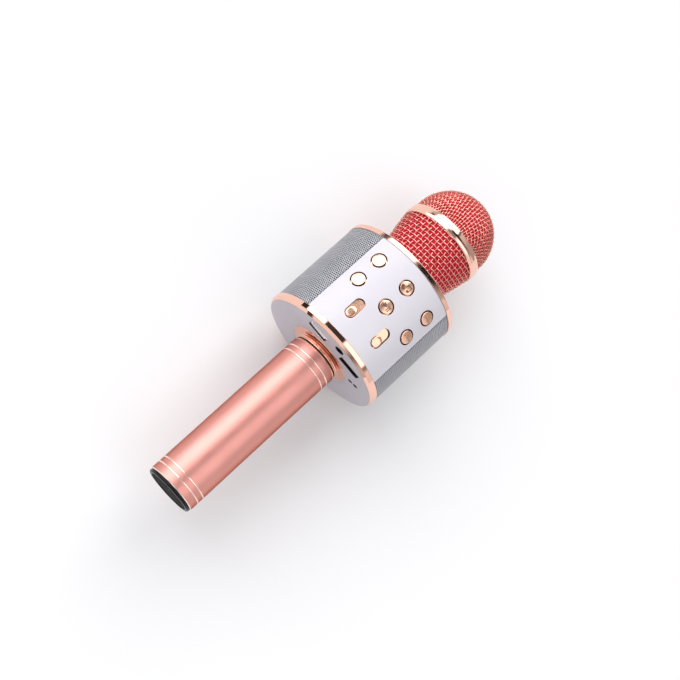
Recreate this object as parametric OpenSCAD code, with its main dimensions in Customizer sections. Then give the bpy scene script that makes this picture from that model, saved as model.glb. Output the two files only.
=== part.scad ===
// Hand-held karaoke microphone: a tube handle, a round speaker drum with a
// control panel, and a wire-mesh head. The model is built standing on its
// handle, with the long axis on Z and the control panel facing +X, and is then
// laid on the drum's back with the panel facing up.

/* [Handle] */
// Outer diameter of the handle tube
handle_d = 30.5; // [29.5:0.5:32]
// Length of the handle tube
handle_len = 105.5; // [100:0.5:115]
// Wall thickness of the handle tube
handle_wall = 1.25; // [1:0.05:1.5]
// How far the end cap stands out of the tube
cap_out = 1.8; // [1.5:0.1:3]
// Depth of the turned grooves
groove_depth = 0.35; // [0.2:0.05:0.5]
// Height of the flared collar between handle and drum
collar_h = 4.7; // [4.5:0.1:6]
// Outer radius of the collar's flare
flare_r = 19.7; // [18:0.1:21]

/* [Drum] */
// Outer diameter of the drum's trim rings
drum_d = 80; // [79.5:0.5:81]
// Height of the lower trim ring
ring_h = 4.5; // [4.4:0.1:5]
// Height of the upper trim ring
top_ring_h = 3.4; // [3.3:0.1:3.6]
// Length of the panels and side grilles
panel_len = 57; // [56:0.5:60]
// Half of the angle that each panel spans
panel_half = 43.8; // [43:0.1:44]

/* [Controls] */
// Diameter of each push button
button_d = 7.6; // [7.4:0.1:7.8]
// Angle between button columns
col_angle = 31; // [30.5:0.1:31.5]
// Distance between the two button rows
row_pitch = 15.8; // [15:0.1:17]
// Length of a slide switch's opening
slot_len = 13.2; // [13:0.1:13.4]
// Width of a slide switch's opening
slot_w = 6.3; // [6.2:0.1:6.5]
// Length of a slide switch's knob
knob_len = 7; // [6.9:0.1:7.2]

/* [Head] */
// Distance from the drum to the head's band
neck_len = 29.4; // [29:0.1:30]
// Height of the head's band
band_h = 6.3; // [5.5:0.1:7]
// Outer radius of the head's band
band_r = 26.9; // [26.8:0.1:27.5]
// Radius of the dome
dome_r = 25.8; // [25.5:0.1:26]

/* [Hidden] */
$fn = 96;
handle_r = handle_d / 2;
bore_r = handle_r - handle_wall;
R = drum_d / 2;
s_plate = handle_len + collar_h;
s_rb = s_plate + ring_h;
s_rt = s_rb + panel_len;
s_top = s_rt + top_ring_h;
s_b0 = s_top + neck_len;
s_neck = s_b0 - 28.3;
s_b1 = s_b0 + band_h;
s_dome = s_b1 + 4.8;
s_apex = s_dome + dome_r;
s_mid = (s_rb + s_rt) / 2;
mid_len = (s_apex - cap_out) / 2;
row_1 = s_mid + 0.3;
row_2 = row_1 + row_pitch;
s_slide = s_rb + 15.4;
slide_angle = col_angle / 2;
hole_r = button_d / 2 + 0.76;
knob_w = slot_w - 0.8;
slide_travel = slot_len - knob_len - 0.8;
s_knob = s_slide - slide_travel / 2;
panel_ro = R - 0.25;
panel_ri = R - 2;
tube_ro = R - 2.1;
tube_ri = R - 4.5;
spk_r = 22;

// Lays the standing model on the drum's back, centred on its length
module lay() {
  translate([-mid_len, 0, R]) rotate([180, 0, 0]) rotate([0, 90, 0]) children();
}

// Turned piece: a closed outline of [radius, height] points
module turned(pts) { rotate_extrude() polygon(pts); }

// Part of a tube between two angles about the long axis
module sector(ri, ro, a0, a1, s0, s1) {
  rotate([0, 0, a0]) rotate_extrude(angle = a1 - a0) translate([ri, s0]) square([ro - ri, s1 - s0]);
}

// Places a piece on the drum's wall: its Z points outward, its X along the handle
module on_wall(angle, s) {
  rotate([0, 0, angle]) translate([0, 0, s]) rotate([0, 90, 0]) children();
}

// Round-ended bar along X
module pill(l, w, z0, z1) {
  translate([-(l - w) / 2, -w / 2, z0]) cube([l - w, w, z1 - z0]);
  for (e = [-1, 1]) translate([e * (l - w) / 2, 0, z0]) cylinder(d = w, h = z1 - z0);
}

// Places a speaker piece: its Z points outward through the drum's side
module at_speaker(side) {
  translate([0, 0, s_mid]) rotate([-90 * side, 0, 0]) children();
}

module speaker_holes(r, z0, z1) {
  for (a = [45:90:315]) rotate([0, 0, a]) translate([20.6, 0, z0]) cylinder(r = r, h = z1 - z0, $fn = 32);
}

// ---- handle ----
function groove(s) = [[handle_r, s - 0.38], [handle_r - groove_depth, s - 0.1],
                      [handle_r - groove_depth, s + 0.1], [handle_r, s + 0.38]];

module handle_tube() {
  color([0.88, 0.53, 0.46]) lay() turned(concat(
    [[bore_r, 0], [handle_r - 0.45, 0], [handle_r, 0.45]],
    groove(5.3), groove(9.1), groove(handle_len - 8.8), groove(handle_len - 5),
    [[handle_r, handle_len - 0.3], [handle_r - 0.3, handle_len], [bore_r, handle_len]]));
}

module end_cap() {
  c = cap_out;
  color([0.08, 0.08, 0.09]) lay() turned([[0, -c + 0.35], [12.9, -c + 0.35], [13.2, -c], [14.2, -c], [14.85, -c + 0.6],
    [14.85, -0.05], [bore_r - 0.08, -0.05], [bore_r - 0.08, 7], [bore_r - 1.6, 7], [bore_r - 1.6, 1.2], [0, 1.2]]);
}

module battery() {
  color([0.2, 0.45, 0.7]) lay() turned([[0, 20], [9.2, 20], [9.2, 84.6], [3, 84.6], [3, 85.6], [0, 85.6]]);
}

module battery_sleeve() {
  color([0.2, 0.2, 0.22]) lay() turned([[9.3, 17], [bore_r - 0.1, 17], [bore_r - 0.1, 82], [9.3, 82]]);
}

module handle_collar() {
  h = handle_len;
  color([0.93, 0.62, 0.52]) lay() turned([[6, h - 14], [bore_r - 0.08, h - 14], [bore_r - 0.08, h + 0.05],
    [handle_r - 0.15, h + 0.05], [handle_r, h + 0.4], [handle_r - 0.2, h + 0.7], [14.2, h + 0.9], [14.1, h + 1.5],
    [14.9, h + 1.8], [15, h + 2.2], [14.6, h + 2.5], [15.6, h + 3.3], [17.3, h + 4.0], [flare_r - 0.2, h + collar_h - 0.35],
    [flare_r, h + collar_h - 0.05], [9.9, h + collar_h - 0.05], [9.9, s_plate + 6.3], [6, s_plate + 6.3]]);
}

module collar_nut() {
  color([0.75, 0.75, 0.78]) lay() difference() {
    translate([0, 0, s_plate + 2.25]) cylinder(r = 14.6, h = 3.8, $fn = 6);
    translate([0, 0, s_plate]) cylinder(r = 9.98, h = 10);
  }
}

// ---- drum ----
// Port places on the bottom plate: [towards the panel, towards the right]
usb_at = [26, -13];
card_at = [25.6, 12.7];
aux_at = [32.3, 1.4];
led_at = [11.1, 21];
led_2_at = [12.3, 24.7];

module bottom_plate() {
  color([0.74, 0.73, 0.77]) lay() difference() {
    translate([0, 0, s_plate]) cylinder(r = R - 1.6, h = 2.2);
    translate([0, 0, s_plate - 1]) cylinder(r = 10, h = 5);
    translate([usb_at[0] - 3, usb_at[1] - 6.8, s_plate - 1]) cube([6, 13.6, 5]);
    translate([card_at[0] - 2.8, card_at[1] - 7.2, s_plate - 1]) cube([5.6, 14.4, 5]);
    translate([aux_at[0], aux_at[1], s_plate - 1]) cylinder(r = 3, h = 5);
    for (p = [led_at, led_2_at]) translate([p[0], p[1], s_plate - 1]) cylinder(r = 1.57, h = 5, $fn = 48);
  }
}

// A ring's outer face is a plain band, with a chamfer down to the plate
module bottom_ring() {
  color([0.93, 0.62, 0.52]) lay() turned([[R - 1.5, s_plate + 0.1], [R - 1.35, s_plate + 0.1], [R - 0.07, s_plate + 1.6], [R, s_plate + 1.75],
    [R, s_rb - 0.05], [R - 2.05, s_rb - 0.05], [R - 2.05, s_plate + 2.25], [R - 1.5, s_plate + 2.25]]);
}

module top_ring() {
  color([0.93, 0.62, 0.52]) lay() turned([[R - 2.05, s_rt + 0.05], [R, s_rt + 0.05], [R, s_top - 0.65], [R - 0.15, s_top - 0.45],
    [R - 1.35, s_top - 0.05], [R - 1.5, s_top - 0.05], [R - 1.5, s_top - 2.25], [R - 2.05, s_top - 2.25]]);
}

module top_plate() {
  color([0.74, 0.73, 0.77]) lay() turned([[18.1, s_top - 2.2], [R - 1.6, s_top - 2.2], [R - 1.6, s_top], [18.1, s_top]]);
}

module chassis() {
  s0 = s_plate + 2.25;
  s1 = s_top - 2.25;
  color([0.12, 0.12, 0.13]) lay() difference() {
    union() {
      difference() {
        translate([0, 0, s0]) cylinder(r = tube_ro, h = s1 - s0);
        translate([0, 0, s0 - 1]) cylinder(r = tube_ri, h = s1 - s0 + 2);
        // window behind the controls
        sector(tube_ri - 2, tube_ro + 2, -41, 41, s_rb + 1.8, s_rt - 3.2);
      }
      // flat baffles that carry the speakers, with the bars that carry the board
      for (side = [-1, 1]) intersection() {
        translate([0, 0, s0]) cylinder(r = tube_ri + 0.4, h = s1 - s0);
        translate([-40, side > 0 ? 27.6 : -29.6, s0]) cube([80, 2, s1 - s0]);
      }
      for (s = [s_rb + 2.2, s_rt - 6.1]) translate([11, -28, s]) cube([3.95, 56, 4]);
      // side rails that carry the key board
      for (m = [0, 1]) mirror([0, m, 0]) {
        sector(25.5, tube_ri + 0.3, 41, 44, s_rb + 9.3, s_rt - 3.2);
        sector(25.5, 27.15, 37, 41.5, s_rb + 9.3, s_rt - 3.2);
      }
    }
    for (side = [-1, 1]) at_speaker(side) {
      translate([0, 0, 20]) cylinder(r = 17.5, h = 30);
      speaker_holes(0.92, 27, 29.2);
    }
    for (s = [s_rb + 4.2, s_rt - 4.1], y = [-12, 12])
      translate([11.8, y, s]) rotate([0, 90, 0]) cylinder(r = 1.05, h = 5, $fn = 32);
  }
}

module front_panel() {
  color([0.9, 0.88, 0.92]) lay() difference() {
    sector(panel_ri, panel_ro, -panel_half, panel_half, s_rb + 0.05, s_rt - 0.05);
    for (c = [-1, 0, 1], s = [row_1, row_2]) on_wall(c * col_angle, s) translate([0, 0, 30]) cylinder(r = hole_r, h = 20);
    for (c = [-1, 1]) {
      on_wall(c * slide_angle, s_slide) pill(slot_len, slot_w, 30, 50);
      // pocket on the inside in which the slider's flange runs
      on_wall(c * slide_angle, s_knob) translate([-10.4 - slide_travel, -4.1, 30]) cube([20 + slide_travel, 8.2, 8.7]);
    }
  }
}

module back_panel() {
  color([0.9, 0.88, 0.92]) lay() sector(panel_ri, panel_ro, 180 - panel_half, 180 + panel_half, s_rb + 0.05, s_rt - 0.05);
}

module side_grille(mid) {
  lay() sector(R - 1.2, R - 0.4, mid - 90 + panel_half + 0.3, mid + 90 - panel_half - 0.3, s_rb + 0.05, s_rt - 0.05);
}
module left_grille() { color([0.56, 0.56, 0.6]) side_grille(-90); }
module right_grille() { color([0.56, 0.56, 0.6]) side_grille(90); }

// ---- speakers ----
module speaker_basket(side) {
  lay() at_speaker(side) difference() {
    turned([[17.2, 26.95], [spk_r, 26.95], [spk_r, 25.5], [19, 25.5], [13.4, 14], [5.5, 14], [5.5, 15.2], [12.4, 15.2], [17.2, 25.4]]);
    speaker_holes(0.95, 20, 30);
  }
}
module speaker_cone(side) {
  lay() at_speaker(side) turned([[17.1, 26.2], [17.1, 26.9], [15.6, 27.3], [14.4, 26.5], [6, 20.6], [3.4, 22.1], [0, 22.7],
    [0, 22], [3.2, 21.4], [5.2, 19.6], [6.4, 19.6], [14.7, 25.5], [15.9, 26.4]]);
}
module speaker_magnet(side) { lay() at_speaker(side) translate([0, 0, 7.5]) cylinder(r = 13, h = 6.45); }
module speaker_gasket(side) {
  lay() at_speaker(side) difference() {
    turned([[17.7, 27], [21.9, 27], [21.9, 27.55], [17.7, 27.55]]);
    speaker_holes(0.95, 20, 30);
  }
}
module left_speaker_basket() { color([0.3, 0.3, 0.32]) speaker_basket(-1); }
module left_speaker_cone() { color([0.15, 0.15, 0.16]) speaker_cone(-1); }
module left_speaker_magnet() { color([0.4, 0.4, 0.42]) speaker_magnet(-1); }
module left_speaker_gasket() { color([0.1, 0.1, 0.1]) speaker_gasket(-1); }
module right_speaker_basket() { color([0.3, 0.3, 0.32]) speaker_basket(1); }
module right_speaker_cone() { color([0.15, 0.15, 0.16]) speaker_cone(1); }
module right_speaker_magnet() { color([0.4, 0.4, 0.42]) speaker_magnet(1); }
module right_speaker_gasket() { color([0.1, 0.1, 0.1]) speaker_gasket(1); }

module speaker_screws() {
  color([0.7, 0.7, 0.72]) lay() for (side = [-1, 1]) at_speaker(side) {
    speaker_holes(0.85, 25.4, 29);
    speaker_holes(1.4, 24.3, 25.45);
  }
}

// ---- boards ----
module main_board() {
  color([0.1, 0.4, 0.22]) lay() difference() {
    translate([15, -15.5, s_rb + 2.2]) cube([1.6, 31, s_rt - s_rb - 4.3]);
    for (s = [s_rb + 4.2, s_rt - 4.1], y = [-12, 12])
      translate([10, y, s]) rotate([0, 90, 0]) cylinder(r = 1.15, h = 10, $fn = 32);
  }
}

module board_screws() {
  color([0.7, 0.7, 0.72]) lay() for (s = [s_rb + 4.2, s_rt - 4.1], y = [-12, 12]) translate([0, y, s]) rotate([0, 90, 0]) {
    translate([0, 0, 12]) cylinder(r = 1, h = 4.7, $fn = 32);
    translate([0, 0, 16.65]) cylinder(r = 1.9, h = 1.2, $fn = 32);
  }
}

module board_parts() {
  color([0.12, 0.12, 0.13]) lay() {
    for (p = [[-9, 130], [4, 136], [-5, 152]]) translate([16.65, p[0], p[1]]) cube([1.3, 8, 8]);
    for (p = [[0, 127], [9, 150], [9, 158]]) translate([16.65, p[0], p[1]]) rotate([0, 90, 0]) cylinder(r = 2.8, h = 6, $fn = 48);
  }
}

module key_board() {
  color([0.75, 0.55, 0.2]) lay() sector(27.2, 28.4, -40.8, 40.8, s_rb + 9.4, s_rt - 3.3);
}

module tact_switches() {
  color([0.2, 0.2, 0.22]) lay() for (c = [-1, 0, 1], s = [row_1, row_2]) on_wall(c * col_angle, s) {
    translate([-3, -3, 28.45]) cube([6, 6, 3.4]);
    translate([0, 0, 31.8]) cylinder(r = 1.75, h = 0.75, $fn = 48);
  }
}

module slide_switches() {
  color([0.6, 0.6, 0.62]) lay() for (c = [-1, 1]) on_wall(c * slide_angle, s_slide) difference() {
    translate([-5, -2.2, 28.45]) cube([10, 4.4, 3.8]);
    translate([-slide_travel / 2 - 1.1, -1, 31.25]) cube([slide_travel + 2.2, 2, 2]);
  }
}

module switch_lever(c) { lay() on_wall(c * slide_angle, s_knob) translate([-0.75, -0.75, 31.45]) cube([1.5, 1.5, 4]); }
module left_switch_lever() { color([0.1, 0.1, 0.1]) switch_lever(-1); }
module right_switch_lever() { color([0.1, 0.1, 0.1]) switch_lever(1); }

// ---- ports ----
module usb_shell() {
  color([0.8, 0.8, 0.82]) lay() translate([usb_at[0], usb_at[1], s_plate]) difference() {
    translate([-2.85, -6.65, -0.5]) cube([5.7, 13.3, 12.5]);
    translate([-2.55, -6.25, -1]) cube([5.1, 12.5, 12.6]);
  }
}
module usb_tongue() {
  color([0.92, 0.92, 0.92]) lay() translate([usb_at[0], usb_at[1], s_plate]) {
    translate([-1.74, -5.55, 0.2]) cube([1.84, 11.1, 10.4]);
    translate([-2.45, -6.15, 10.4]) cube([4.9, 12.3, 1.1]);
  }
}
module card_slot() {
  color([0.07, 0.07, 0.08]) lay() translate([card_at[0], card_at[1], s_plate]) difference() {
    translate([-2.7, -7.1, -0.1]) cube([5.4, 14.2, 12.1]);
    translate([-1.1, -5.9, -1]) cube([2.2, 11.8, 12]);
  }
}
module aux_jack() {
  color([0.07, 0.07, 0.08]) lay() translate([aux_at[0], aux_at[1], s_plate]) difference() {
    union() {
      translate([-2.7, -3, 2.25]) cube([5.4, 6, 9.9]);
      translate([0, 0, 0]) cylinder(r = 2.9, h = 4);
    }
    translate([0, 0, -1]) cylinder(r = 1.8, h = 12);
  }
}
module status_led() {
  color([0.3, 0.1, 0.1]) lay() for (p = [led_at, led_2_at]) translate([p[0], p[1], s_plate]) cylinder(r = 1.5, h = 4.5, $fn = 48);
}

// ---- controls ----
module push_button(c, s) {
  lay() on_wall(c * col_angle, s) {
    // slightly domed face
    intersection() {
      translate([0, 0, 36.6]) cylinder(d = button_d, h = R + 0.15 - 36.6);
      translate([0, 0, R + 0.15 - 30]) sphere(r = 30);
    }
    translate([0, 0, 36.3]) cylinder(r = 5.2, h = 1);
    translate([0, 0, 33.2]) cylinder(r = 1.6, h = 3.3, $fn = 48);
  }
}
module button_left_low() { color([0.93, 0.68, 0.58]) push_button(-1, row_1); }
module button_left_top() { color([0.93, 0.68, 0.58]) push_button(-1, row_2); }
module button_mid_low() { color([0.93, 0.68, 0.58]) push_button(0, row_1); }
module button_mid_top() { color([0.93, 0.68, 0.58]) push_button(0, row_2); }
module button_right_low() { color([0.93, 0.68, 0.58]) push_button(1, row_1); }
module button_right_top() { color([0.93, 0.68, 0.58]) push_button(1, row_2); }

module switch_knob(c) {
  lay() on_wall(c * slide_angle, s_knob) {
    pill(knob_len, knob_w, 38.4, R - 0.15);
    translate([-10.2, -3.9, 37.65]) cube([19.6, 7.8, 0.9]);
    for (e = [-1, 1]) translate([e * 1.5 - 0.6, -1.5, 33]) cube([1.2, 3, 4.8]);
  }
}
module left_switch_knob() { color([0.93, 0.68, 0.58]) switch_knob(-1); }
module right_switch_knob() { color([0.93, 0.68, 0.58]) switch_knob(1); }

// ---- head ----
module head_socket() {
  color([0.1, 0.1, 0.11]) lay() turned([[5, s_top - 4.6], [18, s_top - 4.6], [18, s_top + 0.05], [22.6, s_top + 0.05], [22.6, s_top + 1.4],
    [17, s_top + 1.4], [17, s_top + 5.6], [5, s_top + 5.6]]);
}
module head_nut() {
  color([0.75, 0.75, 0.78]) lay() turned([[18.08, s_top - 4.5], [22, s_top - 4.5], [22, s_top - 2.25], [18.08, s_top - 2.25]]);
}
module head_collar() {
  color([0.93, 0.62, 0.52]) lay() turned([[17.08, s_top + 1.45], [22.3, s_top + 1.45], [22.7, s_top + 1.85], [22.7, s_top + 4.9],
    [22.3, s_top + 5.3], [17.08, s_top + 5.3]]);
}
module lower_grille() {
  color([0.85, 0.55, 0.47]) lay() turned([[20.6, s_top + 5.35], [21.6, s_top + 5.35], [23.7, s_neck + 13.8], [25.2, s_neck + 20.8], [26.4, s_b0 - 0.05],
    [25.4, s_b0 - 0.05], [24.2, s_neck + 20.8], [22.7, s_neck + 13.8]]);
}
module head_band() {
  color([0.93, 0.62, 0.52]) lay() turned([[band_r - 1.5, s_b0], [band_r - 0.5, s_b0], [band_r - 0.1, s_b0 + 0.6], [band_r, s_b0 + 1.6], [band_r, s_b1 - 1.6],
    [band_r - 0.1, s_b1 - 0.6], [band_r - 0.5, s_b1], [band_r - 2.3, s_b1], [band_r - 2.3, s_b1 - 1.2], [band_r - 1.5, s_b1 - 1.8]]);
}
module upper_grille() {
  color([0.85, 0.55, 0.47]) lay() difference() {
    translate([0, 0, s_dome]) sphere(r = dome_r);
    translate([0, 0, s_dome]) sphere(r = dome_r - 1);
    translate([0, 0, s_b1 + 0.05 - 100]) cylinder(r = 60, h = 100);
  }
}
module lower_foam() {
  color([0.78, 0.08, 0.12]) lay() turned([[17.4, s_top + 5.7], [20.35, s_top + 5.7], [22.45, s_neck + 13.8], [23.95, s_neck + 20.8], [25.1, s_b0 - 0.2],
    [21.5, s_b0 - 0.2], [18.5, s_neck + 13.8]]);
}
module upper_foam() {
  color([0.78, 0.08, 0.12]) lay() difference() {
    translate([0, 0, s_dome]) sphere(r = dome_r - 1.2);
    translate([0, 0, s_dome]) sphere(r = dome_r - 5);
    translate([0, 0, s_b1 + 0.2 - 100]) cylinder(r = 60, h = 100);
  }
}
module capsule_post() {
  color([0.12, 0.12, 0.13]) lay() turned([[5, s_top + 5.65], [7.5, s_top + 5.65], [7.5, s_neck + 20], [5, s_neck + 20]]);
}
module capsule_cup() {
  color([0.1, 0.1, 0.1]) lay() turned([[3, s_neck + 20.05], [11, s_neck + 20.05], [11, s_neck + 30], [9.6, s_neck + 30], [9.6, s_neck + 21.6], [3, s_neck + 21.6]]);
}
module capsule() {
  color([0.75, 0.75, 0.77]) lay() turned([[0, s_neck + 21.7], [9.5, s_neck + 21.7], [9.5, s_neck + 29], [8.5, s_neck + 29.6], [0, s_neck + 29.6]]);
}

handle_tube();
end_cap();
battery();
battery_sleeve();
handle_collar();
collar_nut();
bottom_plate();
bottom_ring();
chassis();
top_plate();
top_ring();
front_panel();
back_panel();
left_grille();
right_grille();
left_speaker_basket();
left_speaker_cone();
left_speaker_magnet();
left_speaker_gasket();
right_speaker_basket();
right_speaker_cone();
right_speaker_magnet();
right_speaker_gasket();
speaker_screws();
main_board();
board_screws();
board_parts();
key_board();
tact_switches();
slide_switches();
left_switch_lever();
right_switch_lever();
usb_shell();
usb_tongue();
card_slot();
aux_jack();
status_led();
button_left_low();
button_left_top();
button_mid_low();
button_mid_top();
button_right_low();
button_right_top();
left_switch_knob();
right_switch_knob();
head_socket();
head_nut();
head_collar();
lower_grille();
head_band();
upper_grille();
lower_foam();
upper_foam();
capsule_post();
capsule_cup();
capsule();
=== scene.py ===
import bpy
import bmesh
import math
from mathutils import Matrix, Vector, noise


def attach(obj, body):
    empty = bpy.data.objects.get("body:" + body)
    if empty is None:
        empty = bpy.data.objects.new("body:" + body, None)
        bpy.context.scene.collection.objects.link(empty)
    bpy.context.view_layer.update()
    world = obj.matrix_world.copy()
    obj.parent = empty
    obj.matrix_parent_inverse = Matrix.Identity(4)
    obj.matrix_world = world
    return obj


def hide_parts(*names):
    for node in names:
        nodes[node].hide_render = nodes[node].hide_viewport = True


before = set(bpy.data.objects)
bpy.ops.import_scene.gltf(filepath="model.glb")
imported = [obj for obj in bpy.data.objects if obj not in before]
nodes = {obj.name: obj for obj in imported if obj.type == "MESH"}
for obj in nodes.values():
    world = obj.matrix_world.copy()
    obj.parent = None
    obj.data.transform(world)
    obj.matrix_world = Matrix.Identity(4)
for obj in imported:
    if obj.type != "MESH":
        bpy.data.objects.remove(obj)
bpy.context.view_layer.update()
scene = bpy.context.scene

MM = 0.001
S_MID = 119.8        # axial position of the frame's origin, measured from the handle's lower rim
AXIS_Z = 40.0        # height of the long axis over the floor
S_PLATE, S_RB, S_RT, S_TOP = 110.2, 114.7, 171.7, 175.1
S_B0, S_B1, S_DOME = 204.5, 210.8, 215.6
HANDLE_R, HANDLE_LEN, CAP_OUT = 15.25, 105.5, 1.8
PANEL_R, PANEL_HALF = 39.75, 43.8
COL, ROW1, ROW2 = 31.0, 143.5, 159.3
S_SLIDE, SLIDE_ANGLE = 130.1, 15.5
S_KNOB = 127.4


def at(s, r, th):
    """Point at axial position s, radius r and angle th (radians) about the long axis, in metres."""
    return Vector(((s - S_MID) * MM, -r * math.sin(th) * MM, (AXIS_Z + r * math.cos(th)) * MM))


def on_wall(th0, s0, rad, t, a):
    """Point rad outward, t sideways and a along the axis from a place on the drum's wall; th0 in degrees."""
    th = math.radians(th0)
    y = -rad * math.sin(th) - t * math.cos(th)
    z = rad * math.cos(th) - t * math.sin(th)
    return Vector(((s0 + a - S_MID) * MM, y * MM, (AXIS_Z + z) * MM))


# ------------------------------------------------------------------ materials
def new_mat(name):
    m = bpy.data.materials.new(name)
    m.use_nodes = True
    nt = m.node_tree
    return m, nt, nt.nodes["Principled BSDF"]


def coords(nt, scale=(1, 1, 1)):
    tc = nt.nodes.new("ShaderNodeTexCoord")
    mp = nt.nodes.new("ShaderNodeMapping")
    mp.inputs["Scale"].default_value = scale
    nt.links.new(tc.outputs["Object"], mp.inputs["Vector"])
    return mp.outputs["Vector"]


def noise_tex(nt, vec, scale, detail=3.0, rough=0.55):
    n = nt.nodes.new("ShaderNodeTexNoise")
    n.inputs["Scale"].default_value = scale
    n.inputs["Detail"].default_value = detail
    n.inputs["Roughness"].default_value = rough
    nt.links.new(vec, n.inputs["Vector"])
    return n


def ramp(nt, fac, stops):
    r = nt.nodes.new("ShaderNodeValToRGB")
    e = r.color_ramp.elements
    while len(e) < len(stops):
        e.new(0.5)
    for el, (p, c) in zip(e, stops):
        el.position = p
        el.color = (*c, 1) if len(c) == 3 else c
    nt.links.new(fac, r.inputs["Fac"])
    return r


def rng(nt, fac, lo, hi, f0=0.3, f1=0.7):
    m = nt.nodes.new("ShaderNodeMapRange")
    m.inputs["From Min"].default_value = f0
    m.inputs["From Max"].default_value = f1
    m.inputs["To Min"].default_value = lo
    m.inputs["To Max"].default_value = hi
    nt.links.new(fac, m.inputs["Value"])
    return m.outputs["Result"]


def bump(nt, bsdf, height, strength, distance):
    b = nt.nodes.new("ShaderNodeBump")
    b.inputs["Strength"].default_value = strength
    b.inputs["Distance"].default_value = distance
    nt.links.new(height, b.inputs["Height"])
    nt.links.new(b.outputs["Normal"], bsdf.inputs["Normal"])
    return b


def mix2(c, d):
    return tuple(min(1.0, x * d) for x in c)


def surface(name, color, metallic, rough, vary=0.06, var_scale=60.0, grain_scale=2500.0, grain=0.15, grain_dist=0.00002,
            rough_vary=0.05, coat=0.0, stretch=(1, 1, 1), **extra):
    """A finish with large-scale tone drift, uneven gloss and a fine grain in its bump."""
    m, nt, b = new_mat(name)
    v = coords(nt)
    big = noise_tex(nt, v, var_scale, 4)
    col = ramp(nt, big.outputs["Fac"], [(0.3, mix2(color, 1 - vary)), (0.7, mix2(color, 1 + vary))])
    nt.links.new(col.outputs["Color"], b.inputs["Base Color"])
    b.inputs["Metallic"].default_value = metallic
    smudge = noise_tex(nt, v, var_scale * 2.7, 5)
    nt.links.new(rng(nt, smudge.outputs["Fac"], max(0.02, rough - rough_vary), rough + rough_vary), b.inputs["Roughness"])
    if grain:
        fine = noise_tex(nt, coords(nt, stretch), grain_scale, 2)
        bump(nt, b, fine.outputs["Fac"], grain, grain_dist)
    if coat:
        b.inputs["Coat Weight"].default_value = coat
        b.inputs["Coat Roughness"].default_value = 0.08
    for k, val in extra.items():
        b.inputs[k].default_value = val
    return m


M = {}
M["satin"] = surface("satin_rose", (0.71, 0.318, 0.270), 1.0, 0.37, vary=0.03, var_scale=40, grain_scale=5200, grain=0.3, grain_dist=0.00002, rough_vary=0.03, **{"Specular Tint": (0.42, 0.26, 0.2, 1)})
M["cut"] = surface("diamond_cut", (0.98, 0.80, 0.71), 1.0, 0.18, vary=0.02, grain_scale=3000, grain=0.1, stretch=(6, 1, 1), rough_vary=0.03)
M["mirror"] = surface("mirror_rose", (0.93, 0.57, 0.45), 1.0, 0.045, vary=0.02, var_scale=50, grain_scale=300, grain=0.03, grain_dist=0.0001, rough_vary=0.02)
M["collar"] = surface("collar_rose", (0.86, 0.46, 0.345), 1.0, 0.06, vary=0.03, var_scale=60, grain_scale=400, grain=0.04, grain_dist=0.0001, rough_vary=0.02)
M["plated"] = surface("plated_rose", (0.92, 0.545, 0.385), 1.0, 0.16, vary=0.03, var_scale=120, grain_scale=900, grain=0.04, grain_dist=0.00004, rough_vary=0.03)
M["panel"] = surface("silver_panel", (0.645, 0.617, 0.66), 0.0, 0.24, vary=0.012, var_scale=45, grain_scale=5200, grain=0.06, grain_dist=0.00001, rough_vary=0.03, coat=0.1, **{"Specular IOR Level": 0.22})
# Dark brown that stands in for shade: painted shade on the panels' edges and opening walls, and in the collar's
# grooves.
M["core"] = surface("panel_core", (0.042, 0.021, 0.017), 0.0, 0.5, vary=0.2, var_scale=160, grain_scale=2600, grain=0.2, rough_vary=0.08)
M["plate"] = surface("grey_plate", (0.54, 0.53, 0.585), 0.0, 0.38, vary=0.03, var_scale=70, grain_scale=2600, grain=0.12, rough_vary=0.05)
M["grille"] = surface("grille_metal", (0.50, 0.50, 0.53), 0.75, 0.42, vary=0.06, var_scale=90, grain_scale=4000, grain=0.15, rough_vary=0.06)
M["wire"] = surface("rose_wire", (0.82, 0.42, 0.34), 1.0, 0.2, vary=0.06, var_scale=300, grain_scale=5000, grain=0.12, rough_vary=0.06)
M["black"] = surface("black_plastic", (0.017, 0.017, 0.019), 0.0, 0.45, vary=0.2, var_scale=140, grain_scale=2600, grain=0.3, rough_vary=0.08)
M["cap"] = surface("cap_black", (0.0095, 0.009, 0.0095), 0.0, 0.55, vary=0.12, var_scale=120, grain_scale=2400, grain=0.35, grain_dist=0.00005, rough_vary=0.08, **{"Specular IOR Level": 0.03})
M["cap_rim"] = surface("cap_rim", (0.008, 0.008, 0.009), 0.0, 0.3, vary=0.15, var_scale=120, grain_scale=2600, grain=0.08, rough_vary=0.05, **{"Specular IOR Level": 0.15})
# Black: the aux jack's own plastic, and painted shade on the USB shell's inner walls and on the card slot's flush face.
M["port"] = surface("black_and_painted_shade", (0.008, 0.008, 0.009), 0.0, 0.6, vary=0.2, var_scale=160, grain_scale=2600, grain=0.25, rough_vary=0.08, **{"Specular IOR Level": 0.03})
M["ink"] = surface("dark_print", (0.16, 0.07, 0.055), 0.0, 0.42, vary=0.15, var_scale=600, grain_scale=6000, grain=0.2)
M["white"] = surface("white_plastic", (0.90, 0.895, 0.875), 0.0, 0.4, vary=0.05, var_scale=160, grain_scale=2600, grain=0.15)
M["steel"] = surface("bare_steel", (0.72, 0.72, 0.74), 1.0, 0.25, vary=0.05, var_scale=150, grain_scale=3000, grain=0.1, stretch=(1, 8, 1))
M["pcb"] = surface("solder_mask", (0.03, 0.22, 0.09), 0.0, 0.35, vary=0.12, var_scale=260, grain_scale=2000, grain=0.1)
M["flex"] = surface("polyimide", (0.45, 0.22, 0.04), 0.0, 0.35, vary=0.10, var_scale=200, grain_scale=2000, grain=0.1)
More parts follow.
